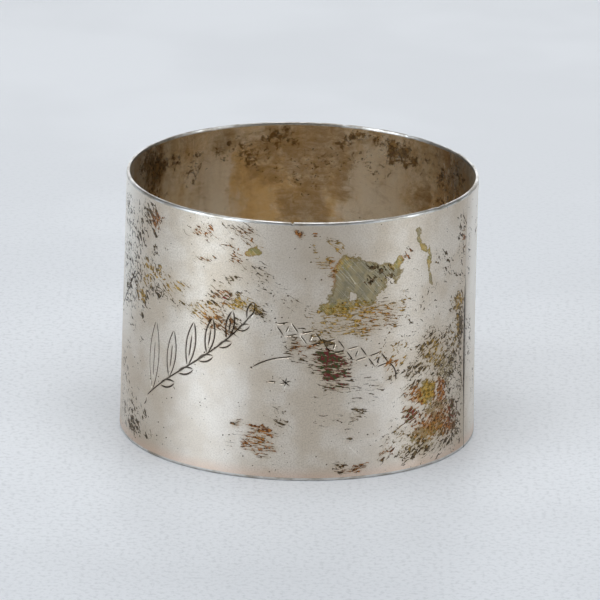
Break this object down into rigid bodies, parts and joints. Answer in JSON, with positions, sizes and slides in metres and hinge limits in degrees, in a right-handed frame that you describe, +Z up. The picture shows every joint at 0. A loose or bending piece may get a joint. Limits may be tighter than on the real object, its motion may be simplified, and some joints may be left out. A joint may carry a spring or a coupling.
{
  "type": "napkin ring",
  "caption": "Plain open band of thin silver sheet, slightly flared to its base, that a rolled table napkin is pushed through; butt joint soldered from base to rim.",
  "frame": {"origin": "on the ring's axis, level with the base edge that it stands on", "axes": "+Z up along the ring's axis, -Y towards the engraved side, +X to the right of it; the soldered joint is 21 degrees from +X towards -Y"},
  "size_m": [0.0466, 0.0466, 0.0345],
  "materials": {
    "silver": "aged silver, satin from wear, blotched with brown, olive and golden tarnish, darker inside",
    "solder": "hard silver solder, dark with tarnish, slightly below the surface"
  },
  "bodies": {
    "root": {"band": "silver", "seam_solder": "solder"}
  },
  "joints": []
}
